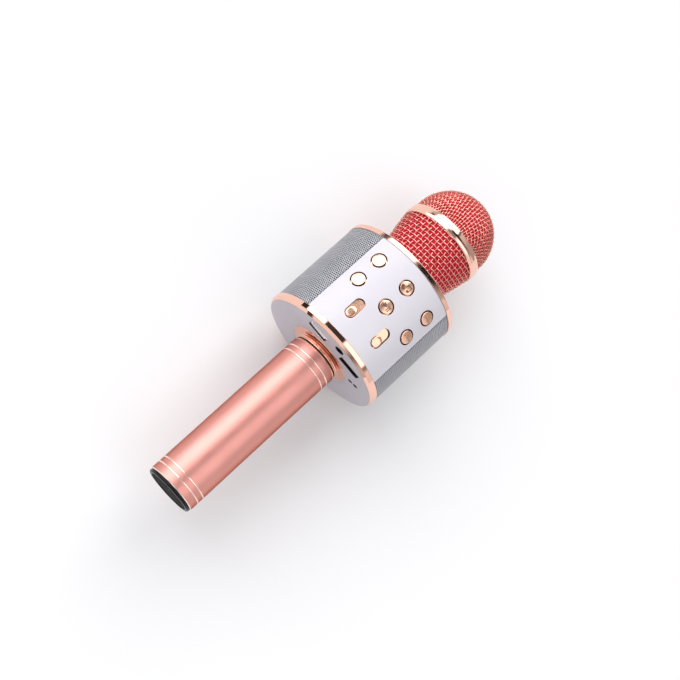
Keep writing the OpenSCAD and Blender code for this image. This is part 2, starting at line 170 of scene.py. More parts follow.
M["cell"] = surface("cell_wrap", (0.05, 0.17, 0.42), 0.0, 0.3, vary=0.05, var_scale=90, grain_scale=1600, grain=0.06)
M["magnet"] = surface("ferrite", (0.07, 0.07, 0.075), 0.2, 0.55, vary=0.2, var_scale=240, grain_scale=1500, grain=0.4, grain_dist=0.00006)
M["cone"] = surface("pressed_paper", (0.02, 0.02, 0.021), 0.0, 0.75, vary=0.3, var_scale=500, grain_scale=1400, grain=0.6, grain_dist=0.0001)
M["pad"] = surface("closed_foam", (0.02, 0.02, 0.022), 0.0, 0.9, vary=0.3, var_scale=900, grain_scale=1500, grain=0.8, grain_dist=0.0002)
M["led"] = surface("led_lens", (0.035, 0.012, 0.012), 0.0, 0.3, vary=0.1, var_scale=600, grain_scale=3000, grain=0.05, **{"Specular IOR Level": 0.03})


def foam_mat():
    m, nt, b = new_mat("red_foam")
    v = coords(nt)
    cells = nt.nodes.new("ShaderNodeTexVoronoi")
    cells.inputs["Scale"].default_value = 2300
    nt.links.new(v, cells.inputs["Vector"])
    big = noise_tex(nt, v, 420, 4)
    tone = ramp(nt, cells.outputs["Distance"], [(0.0, (0.86, 0.030, 0.065)), (0.55, (0.72, 0.018, 0.045)), (0.9, (0.42, 0.008, 0.02))])
    drift = ramp(nt, big.outputs["Fac"], [(0.3, (0.82, 0.82, 0.82)), (0.7, (1, 1, 1))])
    mul = nt.nodes.new("ShaderNodeMix")
    mul.data_type = "RGBA"
    mul.blend_type = "MULTIPLY"
    mul.inputs["Factor"].default_value = 1.0
    nt.links.new(tone.outputs["Color"], mul.inputs["A"])
    nt.links.new(drift.outputs["Color"], mul.inputs["B"])
    nt.links.new(mul.outputs["Result"], b.inputs["Base Color"])
    b.inputs["Roughness"].default_value = 0.95
    b.inputs["Specular IOR Level"].default_value = 0.15
    bump(nt, b, cells.outputs["Distance"], 0.9, 0.0002)
    return m


M["foam"] = foam_mat()


# ------------------------------------------------------------------ mesh helpers
def make(name, verts, faces, mats, index=None, sharp=35, recalc=True):
    me = bpy.data.meshes.new(name)
    me.from_pydata([tuple(v) for v in verts], [], faces)
    if index:
        me.polygons.foreach_set("material_index", index)
    if recalc:
        bm = bmesh.new()
        bm.from_mesh(me)
        bmesh.ops.recalc_face_normals(bm, faces=bm.faces)
        bm.to_mesh(me)
        bm.free()
    for m in mats:
        me.materials.append(m)
    me.shade_smooth()
    if sharp:
        me.set_sharp_from_angle(angle=math.radians(sharp))
    ob = bpy.data.objects.new(name, me)
    scene.collection.objects.link(ob)
    return ob


def bake(ob, sharp=35):
    """Applies an object's modifiers to its mesh."""
    dg = bpy.context.evaluated_depsgraph_get()
    me = bpy.data.meshes.new_from_object(ob.evaluated_get(dg))
    ob.modifiers.clear()
    ob.data = me
    me.shade_smooth()
    me.set_sharp_from_angle(angle=math.radians(sharp))
    return ob


def piece(ob, node=None, body="root"):
    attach(ob, body)
    if node:
        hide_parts(node)
    return ob


def rounded(pts, n=5):
    """Closed outline of (r, s, fillet) points, with arcs at the corners."""
    out = []
    k = len(pts)
    for i, (r, s, f) in enumerate(pts):
        p = Vector((r, s))
        if f <= 0:
            out.append((r, s))
            continue
        a = Vector(pts[i - 1][:2]) - p
        b = Vector(pts[(i + 1) % k][:2]) - p
        la, lb = a.length, b.length
        a.normalize()
        b.normalize()
        ang = a.angle(b)
        if ang > math.pi - 0.02:
            out.append((r, s))
            continue
        d = min(f / math.tan(ang / 2), 0.48 * la, 0.48 * lb)
        rad = d * math.tan(ang / 2)
        c = p + (a + b).normalized() * (rad / math.sin(ang / 2))
        p0, p1 = p + a * d, p + b * d
        v0, v1 = p0 - c, p1 - c
        tot = v0.angle_signed(v1)
        for j in range(n + 1):
            w = v0.copy()
            w.rotate(Matrix.Rotation(-tot * j / n, 2))
            q = c + w
            out.append((q.x, q.y))
    return supported(out)


def supported(pts):
    """Adds points close to both ends of every long stretch, so that it shades flat."""
    out = []
    for (r0, s0), (r1, s1) in zip(pts, pts[1:] + pts[:1]):
        out.append((r0, s0))
        d = math.hypot(r1 - r0, s1 - s0)
        if d > 0.3:
            for w in (0.03 / d, 1 - 0.03 / d):
                out.append((r0 + (r1 - r0) * w, s0 + (s1 - s0) * w))
    return out


def lathe(name, outline, mats, seg=192, pick=None, sharp=35):
    """Turned closed outline of (r, s) points; pick(r, s) gives a face's material index."""
    verts, rings = [], []
    for r, s in outline:
        if r < 1e-4:
            rings.append([len(verts)])
            verts.append(at(s, 0, 0))
        else:
            rings.append(list(range(len(verts), len(verts) + seg)))
            verts += [at(s, r, 2 * math.pi * i / seg) for i in range(seg)]
    faces, index = [], []
    k = len(outline)
    for j in range(k):
        a, b = rings[j], rings[(j + 1) % k]
        if len(a) == 1 and len(b) == 1:
            continue
        (r0, s0), (r1, s1) = outline[j], outline[(j + 1) % k]
        mi = pick((r0 + r1) / 2, (s0 + s1) / 2) if pick else 0
        for i in range(seg):
            n = (i + 1) % seg
            if len(a) == 1:
                faces.append((a[0], b[n], b[i]))
            elif len(b) == 1:
                faces.append((a[i], a[n], b[0]))
            else:
                faces.append((a[i], a[n], b[n], b[i]))
            index.append(mi)
    return make(name, verts, faces, mats, index, sharp)


# ------------------------------------------------------------------ handle
def groove(s):
    return [(HANDLE_R, s - 0.40, 0), (HANDLE_R - 0.03, s - 0.36, 0), (HANDLE_R - 0.33, s - 0.08, 0), (HANDLE_R - 0.33, s + 0.08, 0),
            (HANDLE_R - 0.03, s + 0.36, 0), (HANDLE_R, s + 0.40, 0)]


GROOVES = (5.3, 9.1, HANDLE_LEN - 8.8, HANDLE_LEN - 5.0)
out = [(14.0, 0, 0), (HANDLE_R - 0.5, 0, 0.05), (HANDLE_R, 0.5, 0.05)]
for g in GROOVES[:2]:
    out += groove(g)
for k in range(1, 8):
    out.append((HANDLE_R, 9.8 + k * (86.2 / 8), 0))
for g in GROOVES[2:]:
    out += groove(g)
out += [(HANDLE_R, HANDLE_LEN - 0.35, 0.05), (HANDLE_R - 0.35, HANDLE_LEN, 0.05), (14.0, HANDLE_LEN, 0)]


def handle_pick(r, s):
    if r < 14.2:
        return 0
    if s < 0.5 or s > HANDLE_LEN - 0.36:
        return 1
    return 1 if any(abs(s - g) < 0.37 for g in GROOVES) else 0


piece(lathe("handle_sleeve", rounded(out, 3), [M["satin"], M["cut"]], pick=handle_pick, sharp=20), "handle_tube")

c = -CAP_OUT
cap = rounded([(0, c + 0.35, 0), (12.7, c + 0.35, 0.15), (13.0, c, 0.2), (14.3, c, 0.5), (14.85, c + 0.7, 0.3), (14.85, -0.05, 0),
               (13.92, -0.05, 0), (13.92, 7, 0.3), (12.4, 7, 0), (12.4, 1.2, 0), (0, 1.2, 0)], 4)
piece(lathe("end_plug", cap, [M["cap"], M["cap_rim"]], pick=lambda r, s: 1 if r > 12.8 and s < 0 else 0), "end_cap")

h = HANDLE_LEN
collar = rounded([(6, h - 14, 0), (13.92, h - 14, 0), (13.92, h + 0.05, 0), (14.9, h + 0.05, 0.05), (15.2, h + 0.4, 0.25), (14.7, h + 0.85, 0.15), (14.15, h + 0.95, 0.1),
                  (14.05, h + 1.55, 0.15), (14.9, h + 1.7, 0.25), (15.0, h + 2.25, 0.3), (14.5, h + 2.55, 0.15), (15.1, h + 3.1, 0.6), (16.9, h + 3.75, 2.0),
                  (19.5, h + 4.2, 0.3), (19.7, h + 4.65, 0.05), (9.9, h + 4.65, 0), (9.9, S_PLATE + 6.3, 0), (6, S_PLATE + 6.3, 0)], 5)
# The faces in the groove between the two beads and at the root of the flare get the dark brown: painted shade in the
# grooves.
piece(lathe("flared_collar", collar, [M["collar"], M["core"]], pick=lambda r, s: 1 if r < 14.6 and h + 0.84 < s < h + 2.62 else 0, sharp=40), "handle_collar")

# ------------------------------------------------------------------ drum rings, band, head fittings
R = 40.0
ring = [(R - 1.5, S_PLATE + 0.1, 0), (R - 1.32, S_PLATE + 0.1, 0.08), (R - 0.07, S_PLATE + 1.6, 0.06), (R, S_PLATE + 1.75, 0.08),
        (R, S_RB - 0.14, 0.06), (R - 0.09, S_RB - 0.05, 0.04), (R - 2.05, S_RB - 0.05, 0), (R - 2.05, S_PLATE + 2.25, 0), (R - 1.5, S_PLATE + 2.25, 0)]
piece(lathe("lower_trim_ring", rounded(ring, 6), [M["mirror"]], seg=256, sharp=50), "bottom_ring")
ring_t = [(R - 2.05, S_RT + 0.05, 0), (R - 0.09, S_RT + 0.05, 0.04), (R, S_RT + 0.14, 0.06), (R, S_TOP - 0.65, 0.1), (R - 0.15, S_TOP - 0.45, 0.15),
          (R - 1.32, S_TOP - 0.05, 0.08), (R - 1.5, S_TOP - 0.05, 0), (R - 1.5, S_TOP - 2.25, 0), (R - 2.05, S_TOP - 2.25, 0)]
piece(lathe("upper_trim_ring", rounded(ring_t, 6), [M["mirror"]], seg=256, sharp=50), "top_ring")

B = 26.9
band = rounded([(B - 1.5, S_B0, 0), (B - 0.75, S_B0, 0.15), (B - 0.3, S_B0 + 0.35, 0.3), (B - 0.03, S_B0 + 1.7, 2), (B, (S_B0 + S_B1) / 2, 6), (B - 0.03, S_B1 - 1.7, 2),
                (B - 0.3, S_B1 - 0.35, 0.3), (B - 0.75, S_B1, 0.15), (B - 2.3, S_B1, 0), (B - 2.3, S_B1 - 1.2, 0), (B - 1.5, S_B1 - 1.8, 0)], 5)
piece(lathe("grille_band", band, [M["mirror"]], sharp=50), "head_band")
hc = rounded([(17.08, S_TOP + 1.45, 0), (22.4, S_TOP + 1.45, 0.3), (22.7, S_TOP + 1.9, 0.3), (22.7, S_TOP + 4.8, 0.4), (22.2, S_TOP + 5.3, 0.3), (17.08, S_TOP + 5.3, 0)], 4)
piece(lathe("screw_collar", hc, [M["mirror"]], sharp=50), "head_collar")


# ------------------------------------------------------------------ curved panels
def panel(name, holes, ub, vb, cells, mid):
    """Curved sheet over (u, v) = (arc length, axial position) with rounded openings. ub, vb: grid lines; cells: (u0, u1, v0, v1, hole or None)."""
    verts, key, faces = [], {}, []

    def vid(u, v):
        k = (round(u, 4), round(v, 4))
        if k not in key:
            key[k] = len(verts)
            verts.append(at(v, PANEL_R, mid + u / PANEL_R))
        return key[k]

    for u0, u1, v0, v1, hole in cells:
        us = [u for u in ub if u0 - 1e-6 <= u <= u1 + 1e-6]
        vs = [v for v in vb if v0 - 1e-6 <= v <= v1 + 1e-6]
        if hole is None:
            for a, b in zip(us, us[1:]):
                for c0, d in zip(vs, vs[1:]):
                    faces.append((vid(a, c0), vid(b, c0), vid(b, d), vid(a, d)))
            continue
        hu, hv, rad, half = hole
        loop = [(u, vs[0]) for u in us[:-1]] + [(us[-1], v) for v in vs[:-1]] + [(u, vs[-1]) for u in us[:0:-1]] + [(us[0], v) for v in vs[:0:-1]]
        inner = []
        for u, v in loop:
            cy = max(-half, min(half, v - hv))
            d = Vector((u - hu, v - hv - cy)).normalized()
            t = rad * d.x
            inner.append((hu + PANEL_R * math.asin(t / PANEL_R), hv + cy + rad * d.y))
        steps = [0, 0.3, 0.56, 0.74, 0.85, 1.0]
        rings = []
        for w in steps:
            rings.append([vid(a[0] + (b[0] - a[0]) * w, a[1] + (b[1] - a[1]) * w) for a, b in zip(loop, inner)])
        n = len(loop)
        for a, b in zip(rings, rings[1:]):
            for i in range(n):
                j = (i + 1) % n
                faces.append((a[i], a[j], b[j], b[i]))
    ob = make(name, verts, faces, [M["panel"]], recalc=False)
    bm = bmesh.new()
    bm.from_mesh(ob.data)
    bmesh.ops.recalc_face_normals(bm, faces=bm.faces)
    f = max(bm.faces, key=lambda q: q.calc_area())
    cen = f.calc_center_median()
    if f.normal.dot(Vector((0, cen.y, cen.z - AXIS_Z * MM))) < 0:
        bmesh.ops.reverse_faces(bm, faces=bm.faces)
    bm.to_mesh(ob.data)
    bm.free()
    so = ob.modifiers.new("thick", "SOLIDIFY")
    so.thickness = 0.95 * MM
    so.offset = -1
    be = ob.modifiers.new("edge", "BEVEL")
    be.width = 0.16 * MM
    be.segments = 3
    be.limit_method = "ANGLE"
    be.angle_limit = math.radians(45)
    be.use_clamp_overlap = True
    wn_ = ob.modifiers.new("normals", "WEIGHTED_NORMAL")
    wn_.keep_sharp = True
    # Faces that do not face outward (the sheet's edges, the walls of its openings and its back) get the dark brown:
    # painted shade, which makes the rings round the buttons dark.
    ob.data.materials.append(M["core"])
    bake(ob, 50)
    for f in ob.data.polygons:
        d = Vector((0, f.center.y, f.center.z - AXIS_Z * MM)).normalized()
        f.material_index = 0 if f.normal.dot(d) > 0.3 else 1
    return ob


def spread(a, b, n):
    return [a + (b - a) * i / n for i in range(n)]


UH = PANEL_R * math.radians(PANEL_HALF)
UC = PANEL_R * math.radians(COL)
US = UC / 2
ub = spread(-UH, -US, 20) + spread(-US, 0, 12) + spread(0, US, 12) + spread(US, UH, 20) + [UH]
V0, V1, V2, V3, V4 = S_RB + 0.05, 137.8, 151.4, 167.2, S_RT - 0.05
vb = spread(V0, V1, 20) + spread(V1, V2, 14) + spread(V2, V3, 15) + spread(V3, V4, 4) + [V4]
HR = 4.56
cells = [(-UH, 0, V0, V1, (-US, S_SLIDE, 3.15, 3.45)), (0, UH, V0, V1, (US, S_SLIDE, 3.15, 3.45))]
for v0, v1, s in ((V1, V2, ROW1), (V2, V3, ROW2)):
    cells += [(-UH, -US, v0, v1, (-UC, s, HR, 0)), (-US, US, v0, v1, (0, s, HR, 0)), (US, UH, v0, v1, (UC, s, HR, 0))]
cells.append((-UH, UH, V3, V4, None))
piece(panel("control_panel", True, ub, vb, cells, 0.0), "front_panel")
piece(panel("rear_panel", False, ub, vb, [(-UH, UH, V0, V4, None)], math.pi), "back_panel")


# ------------------------------------------------------------------ perforated side grilles
def perforated(name, mid):
    rad, a0, a1 = 39.6, -45.9, 45.9
    n_th, n_s, hole = 47, 48, 0.5
    length = rad * math.radians(a1 - a0)
    hgt = length / n_th
    wid = (S_RT - S_RB - 0.1) / n_s
    verts, key, faces = [], {}, []

    def vid(u, v):
        k = (round(u, 3), round(v, 3))
        if k not in key:
            key[k] = len(verts)
            verts.append(at(v, rad, mid + u / rad))
        return key[k]

    for i in range(n_s):
        vc = S_RB + 0.05 + (i + 0.5) * wid
        odd = i % 2
        for j in range(n_th - odd):
            uc = -length / 2 + (j + 0.5 + 0.5 * odd) * hgt
            x, y = wid / 2, hgt / 2
            ring_o = [(-x, -y), (0, -y), (x, -y), (x, 0), (x, y), (0, y), (-x, y), (-x, 0)]
            po = [vid(uc + q, vc + p) for p, q in ring_o]
            h_ = hole if odd or 0 < j < n_th - 1 else 0.565
            pi_ = []
            for p, q in ring_o:
                ang = math.atan2(q, p)
                ang = round(ang / (math.pi / 4)) * (math.pi / 4)
                pi_.append(vid(uc + h_ * math.sin(ang), vc + h_ * math.cos(ang)))
            for k in range(8):
                m = (k + 1) % 8
                faces.append((po[k], po[m], pi_[m], pi_[k]))
        if odd:      # the cut edge runs through these holes
            for e in (-1, 1):
                ue = e * length / 2
                ui = ue - e * hgt / 2
                x = wid / 2
                ring_o = [vid(ue, vc - x), vid(ui, vc - x), vid(ui, vc), vid(ui, vc + x), vid(ue, vc + x)]
                ring_i = [vid(ue - e * 0.62 * math.sin(k * math.pi / 4), vc - 0.565 * math.cos(k * math.pi / 4)) for k in range(5)]
                for k in range(4):
                    faces.append((ring_o[k], ring_o[k + 1], ring_i[k + 1], ring_i[k]))
    ob = make(name, verts, faces, [M["grille"]], recalc=False)
    bm = bmesh.new()
    bm.from_mesh(ob.data)
    bmesh.ops.recalc_face_normals(bm, faces=bm.faces)
    bm.faces.ensure_lookup_table()
    f = bm.faces[0]
    cen = f.calc_center_median()
    if f.normal.dot(Vector((0, cen.y, cen.z - AXIS_Z * MM))) < 0:
        bmesh.ops.reverse_faces(bm, faces=bm.faces)
    bm.to_mesh(ob.data)
    bm.free()
    so = ob.modifiers.new("thick", "SOLIDIFY")
    so.thickness = 0.7 * MM
    so.offset = -1
    return bake(ob, 50)


piece(perforated("perforated_left", -math.pi / 2), "left_grille")
piece(perforated("perforated_right", math.pi / 2), "right_grille")

# ------------------------------------------------------------------ woven wire head
PITCH, WIRE = 2.55, 0.25
AMP = 0.4


def tube(verts, faces, pts, normals, rad, sides=6):
    n = len(pts)
    if n < 3:
        return
    base = len(verts)
    for i, (p, nn) in enumerate(zip(pts, normals)):
        t = (pts[min(n - 1, i + 1)] - pts[max(0, i - 1)]).normalized()
        b = t.cross(nn).normalized()
        m = b.cross(t)
        for k in range(sides):
            a = 2 * math.pi * (k + 0.5) / sides
            verts.append(p + (b * math.cos(a) + m * math.sin(a)) * rad)
    for i in range(n - 1):
        for k in range(sides):
            j = (k + 1) % sides
            faces.append((base + i * sides + k, base + i * sides + j, base + (i + 1) * sides + j, base + (i + 1) * sides + k))
    faces.append(tuple(base + k for k in range(sides))[::-1])
    faces.append(tuple(base + (n - 1) * sides + k for k in range(sides)))


def runs(test, lo, hi, step):
    """Stretches of [lo, hi] where test holds, as lists of samples."""
    cur = []
    x = lo
    while x <= hi + 1e-9:
        if test(x):
            cur.append(x)
        else:
            if len(cur) > 2:
                yield cur
            cur = []
        x += step
    if len(cur) > 2:
        yield cur


CONE = [(180.45, 21.6), (190.0, 23.75), (197.0, 25.25), (204.5, 26.45)]


def cone_r(s):
    for (s0, r0), (s1, r1) in zip(CONE, CONE[1:]):
        if s <= s1 or (s1, r1) == CONE[-1]:
            w = (s - s0) / (s1 - s0)
            return r0 + (r1 - r0) * w
    return CONE[-1][1]


def wire_cone():
    sb = 0.2
    l0, l1 = 20.728 / sb, 25.6 / sb
    s0, s1 = 180.5, 204.6
    amax = math.pi * sb
    tilt = math.radians(-5)
    verts, faces = [], []

    def place(x, y, off):
        xx = x * math.cos(tilt) - y * math.sin(tilt)
        yy = x * math.sin(tilt) + y * math.cos(tilt)
        ll, al = math.hypot(xx, yy), math.atan2(yy, xx)
        s = s0 + (ll - l0) * (s1 - s0) / (l1 - l0)
        th = al / sb
        r = cone_r(s) - WIRE - AMP + off
        return at(s, r, th), Vector((0, -math.sin(th), math.cos(th)))

    def inside(x, y):
        xx = x * math.cos(tilt) - y * math.sin(tilt)
        yy = x * math.sin(tilt) + y * math.cos(tilt)
        return l0 <= math.hypot(xx, yy) <= l1 and abs(math.atan2(yy, xx)) <= amax * 0.995

    step = PITCH / 6
    for fam in (0, 1):
        for i in range(-60, 61):
            c0 = i * PITCH

            def test(q):
                return inside(c0, q) if fam == 0 else inside(q, c0)

            lim = 140 // step * step
            for run in runs(test, -lim, lim, step):
                pts, nor = [], []
                for q in run:
                    ph = math.pi * q / PITCH + math.pi * i
                    off = AMP * math.cos(ph) * (1 if fam == 0 else -1)
                    p, n = place(c0, q, off) if fam == 0 else place(q, c0, off)
                    pts.append(p)
                    nor.append(n)
                tube(verts, faces, pts, nor, WIRE * MM)
    # soldered seam along the back
    base = len(verts)
    for k in range(13):
        s = 181.6 + k * (22.9 / 12)
        r = cone_r(s)
        for t, dr in ((-1.3, -1.5), (1.3, -1.5), (1.3, -0.25), (0.9, -0.02), (-0.9, -0.02), (-1.3, -0.25)):
            verts.append(at(s, r + dr, math.pi + t / r))
    for k in range(12):
        for q in range(6):
            w = (q + 1) % 6
            faces.append((base + k * 6 + q, base + k * 6 + w, base + (k + 1) * 6 + w, base + (k + 1) * 6 + q))
    faces.append(tuple(base + q for q in range(6))[::-1])
    faces.append(tuple(base + 72 + q for q in range(6)))
    return make("woven_cone", verts, faces, [M["wire"]], sharp=60)


def wire_dome():
    rad = 25.8 - WIRE - AMP
    tmax = math.radians(101.2)
    rho_max = rad * tmax
    rot = math.radians(-8)
    verts, faces = [], []

    def place(u, v, off):
        rho, ph = math.hypot(u, v), math.atan2(v, u) + rot
        th = rho / rad
        d = Vector((math.cos(th), -math.sin(th) * math.sin(ph), math.sin(th) * math.cos(ph)))
        p = Vector(((S_DOME - S_MID) * MM, 0, AXIS_Z * MM)) + d * ((rad + off) * MM)
        return p, d

    step = PITCH / 6
    n = int(rho_max / PITCH)
    for fam in (0, 1):
        for i in range(-n, n + 1):
            c0 = i * PITCH
            lim = math.floor(rho_max / step) * step
            for run in runs(lambda q: math.hypot(c0, q) <= rho_max, -lim, lim, step):
                pts, nor = [], []
                for q in run:
                    off = AMP * math.cos(math.pi * q / PITCH + math.pi * i) * (1 if fam == 0 else -1)
                    p, nn = place(c0, q, off) if fam == 0 else place(q, c0, off)
                    pts.append(p)
                    nor.append(nn)
                tube(verts, faces, pts, nor, WIRE * MM)
    return make("woven_dome", verts, faces, [M["wire"]], sharp=60)


piece(wire_cone(), "lower_grille")
piece(wire_dome(), "upper_grille")


# ------------------------------------------------------------------ foam windscreen
def rough_skin(ob, amount, scale):
    for v in ob.data.vertices:
        k = noise.fractal(v.co * scale, 1.0, 2.0, 4) * amount
        d = Vector((0, v.co.y, v.co.z - AXIS_Z * MM))
        if d.length > 1e-6:
            v.co += d.normalized() * (k - amount)
    ob.data.update()


prof = [(17.4, 180.8)]
for k in range(41):
    s = 180.8 + k * (23.5 / 40)
    prof.append((cone_r(s) - 1.16, s))
prof += [(21.5, 204.3), (18.5, 190.0)]
foam_l = lathe("windscreen_lower", prof, [M["foam"]], seg=220)
rough_skin(foam_l, 0.12 * MM, 900)
piece(foam_l, "lower_foam")
prof = []
for k in range(61):
    t = math.radians(100.5) * (1 - k / 60)
    prof.append((24.7 * math.sin(t), S_DOME + 24.7 * math.cos(t)))
prof[-1] = (0, S_DOME + 24.7)
for k in range(21):
    t = math.radians(100.5) * k / 20
    prof.append((20.8 * math.sin(t), S_DOME + 20.8 * math.cos(t)))
foam_u = lathe("windscreen_upper", prof, [M["foam"]], seg=220)
rough_skin(foam_u, 0.12 * MM, 900)
piece(foam_u, "upper_foam")


# ------------------------------------------------------------------ controls
TOP = 40.15          # face of a push button, from the axis
DOME = 30.0          # radius of a button's slightly domed face


def face_z(d):
    """Height of the domed face at distance d from the button's centre."""
    return TOP - d * d / (2 * DOME)


def push_button(name, node, th0, s0, glyph):
    prof = [(0, TOP)] + [(d, face_z(d)) for d in (0.7, 1.4, 2.1, 2.7, 3.2, 3.5)]
    e = face_z(3.5)
    prof += [(3.62, e - 0.03), (3.73, e - 0.1), (3.8, e - 0.22), (3.82, e - 0.4), (3.82, 37.35), (3.82, 37.3), (5.2, 37.3), (5.2, 36.3), (1.6, 36.3), (1.6, 33.2), (0, 33.2)]
    seg = 72
    verts, rings, faces, index = [], [], [], []
    for d, z in prof:
        if d < 1e-6:
            rings.append([len(verts)])
            verts.append(on_wall(th0, s0, z, 0, 0))
        else:
            rings.append(list(range(len(verts), len(verts) + seg)))
            verts += [on_wall(th0, s0, z, d * math.cos(2 * math.pi * i / seg), d * math.sin(2 * math.pi * i / seg)) for i in range(seg)]
    for a, b in zip(rings, rings[1:]):
        for i in range(seg):
            n = (i + 1) % seg
            if len(a) == 1:
                faces.append((a[0], b[i], b[n]))
            elif len(b) == 1:
                faces.append((a[i], b[0], a[n]))
            else:
                faces.append((a[i], b[i], b[n], a[n]))
            index.append(0)
    for poly in glyph:
        base, n = len(verts), len(poly)
        for dz in (-0.15, 0.07):
            for x, y in poly:
                verts.append(on_wall(th0, s0, face_z(math.hypot(x, y)) + dz, x, y))
        faces.append(tuple(range(base + n, base + 2 * n)))
        faces.append(tuple(range(base, base + n))[::-1])
        index += [1, 1]
        for i in range(n):
            j = (i + 1) % n
            faces.append((base + i, base + j, base + n + j, base + n + i))
            index.append(1)
    piece(make(name, verts, faces, [M["plated"], M["ink"]], index, sharp=45), node, node)


def bar(x0, y0, x1, y1, w):
    d = Vector((x1 - x0, y1 - y0)).normalized()
    n = Vector((-d.y, d.x)) * (w / 2)
    return [(x0 + n.x, y0 + n.y), (x0 - n.x, y0 - n.y), (x1 - n.x, y1 - n.y), (x1 + n.x, y1 + n.y)]


play = [[(-2.3, -1.75), (0.35, 0), (-2.3, 1.75)], bar(1.05, -1.7, 1.05, 1.7, 0.55), bar(2.05, -1.7, 2.05, 1.7, 0.55)]
note = [[(-1.3 + 0.95 * math.cos(a), -1.6 + 0.72 * math.sin(a)) for a in [2 * math.pi * k / 18 for k in range(18)]],
        [(1.45 + 0.9 * math.cos(a), -1.2 + 0.7 * math.sin(a)) for a in [2 * math.pi * k / 18 for k in range(18)]],
        bar(-0.55, -1.5, -0.55, 1.75, 0.36), bar(2.15, -1.1, 2.15, 2.1, 0.36), bar(-0.73, 1.55, 2.33, 2.0, 0.75)]
push_button("key_left_low", "button_left_low", -COL, ROW1, [])
push_button("key_left_top", "button_left_top", -COL, ROW2, [])
push_button("key_mid_low", "button_mid_low", 0, ROW1, play)
push_button("key_mid_top", "button_mid_top", 0, ROW2, note)
push_button("key_right_low", "button_right_low", COL, ROW1, [])
push_button("key_right_top", "button_right_top", COL, ROW2, [])


def pill_loop(th0, s0, z, half, rad, n=20):
    pts = []
    for k in range(2 * n):
        a = math.pi * k / n
        off = half if k < n else -half
        pts.append(on_wall(th0, s0, z, rad * math.cos(a), off + rad * math.sin(a)))
    return pts


def box(verts, faces, th0, s0, a0, a1, t0, t1, z0, z1):
    base = len(verts)
    for z in (z0, z1):
        for a, t in ((a0, t0), (a1, t0), (a1, t1), (a0, t1)):
            verts.append(on_wall(th0, s0, z, t, a))
    for f in ((0, 1, 2, 3), (4, 7, 6, 5), (0, 4, 5, 1), (1, 5, 6, 2), (2, 6, 7, 3), (3, 7, 4, 0)):
        faces.append(tuple(base + k for k in f))


def slide_knob(name, node, body, th0):
    verts, faces = [], []
    half, rad, top = 0.75, 2.75, 39.85
    levels = [(38.5, rad), (top - 0.7, rad), (top - 0.38, rad - 0.06), (top - 0.16, rad - 0.22), (top - 0.04, rad - 0.45), (top, rad - 0.75), (top + 0.03, rad - 1.4), (top + 0.04, rad - 2.2)]
    loops = []
    for z, r in levels:
        loops.append(list(range(len(verts), len(verts) + 40)))
        verts += pill_loop(th0, S_KNOB, z, half, r)
    faces.append(tuple(loops[0]))
    faces.append(tuple(loops[-1])[::-1])
    for a, b in zip(loops, loops[1:]):
        for i in range(40):
            j = (i + 1) % 40
            faces.append((a[i], b[i], b[j], a[j]))
    box(verts, faces, th0, S_KNOB, -9.4, 10.2, -3.9, 3.9, 37.65, 38.55)
    for e in (-1, 1):
        box(verts, faces, th0, S_KNOB, e * 1.5 - 0.6, e * 1.5 + 0.6, -1.5, 1.5, 33, 37.7)
    piece(make(name, verts, faces, [M["plated"]], sharp=40), node, body)


slide_knob("slide_left", "left_switch_knob", "left_switch", -SLIDE_ANGLE)
slide_knob("slide_right", "right_switch_knob", "right_switch", SLIDE_ANGLE)


# ------------------------------------------------------------------ ports
def port(f, lat, s, x, y):
    """Point on the bottom plate: f towards the panel, lat towards the right, x and y from the port's centre."""
    return Vector(((s - S_MID) * MM, -(lat + y) * MM, (AXIS_Z + f + x) * MM))


def round_rect(w, d, r, n=5):
    pts = []
    for cx, cy, a0 in ((w / 2 - r, d / 2 - r, 0), (-w / 2 + r, d / 2 - r, 90), (-w / 2 + r, -d / 2 + r, 180), (w / 2 - r, -d / 2 + r, 270)):
        for k in range(n + 1):
            a = math.radians(a0 + 90 * k / n)
            pts.append((cx + r * math.cos(a), cy + r * math.sin(a)))
    return pts


def usb():
    verts, faces = [], []
    f, lat = 26.0, -13.0
    layers = [(5.7, 13.3, 0.8, 12.0), (5.7, 13.3, 0.8, -0.4), (5.6, 13.2, 0.75, -0.5), (5.2, 12.8, 0.6, -0.5), (5.1, 12.5, 0.5, -0.4), (5.1, 12.5, 0.5, 11.6)]
    loops = []
    for w, d, r, s in layers:
        loops.append(list(range(len(verts), len(verts) + 24)))
        verts += [port(f, lat, S_PLATE + s, x, y) for x, y in round_rect(w, d, r)]
    for a, b in zip(loops, loops[1:]):
        for i in range(24):
            j = (i + 1) % 24
            faces.append((a[i], a[j], b[j], b[i]))
    faces.append(tuple(loops[0]))
    faces.append(tuple(loops[-1])[::-1])
    # The steel shell's inner walls and inner back face get the black: painted shade inside the socket.
    dark = [1 if 24 * 4 <= k < 24 * 5 else 0 for k in range(len(faces))]
    dark[-1] = 1
    return make("usb_socket_shell", verts, faces, [M["steel"], M["port"]], dark, sharp=40)


piece(usb(), "usb_shell")

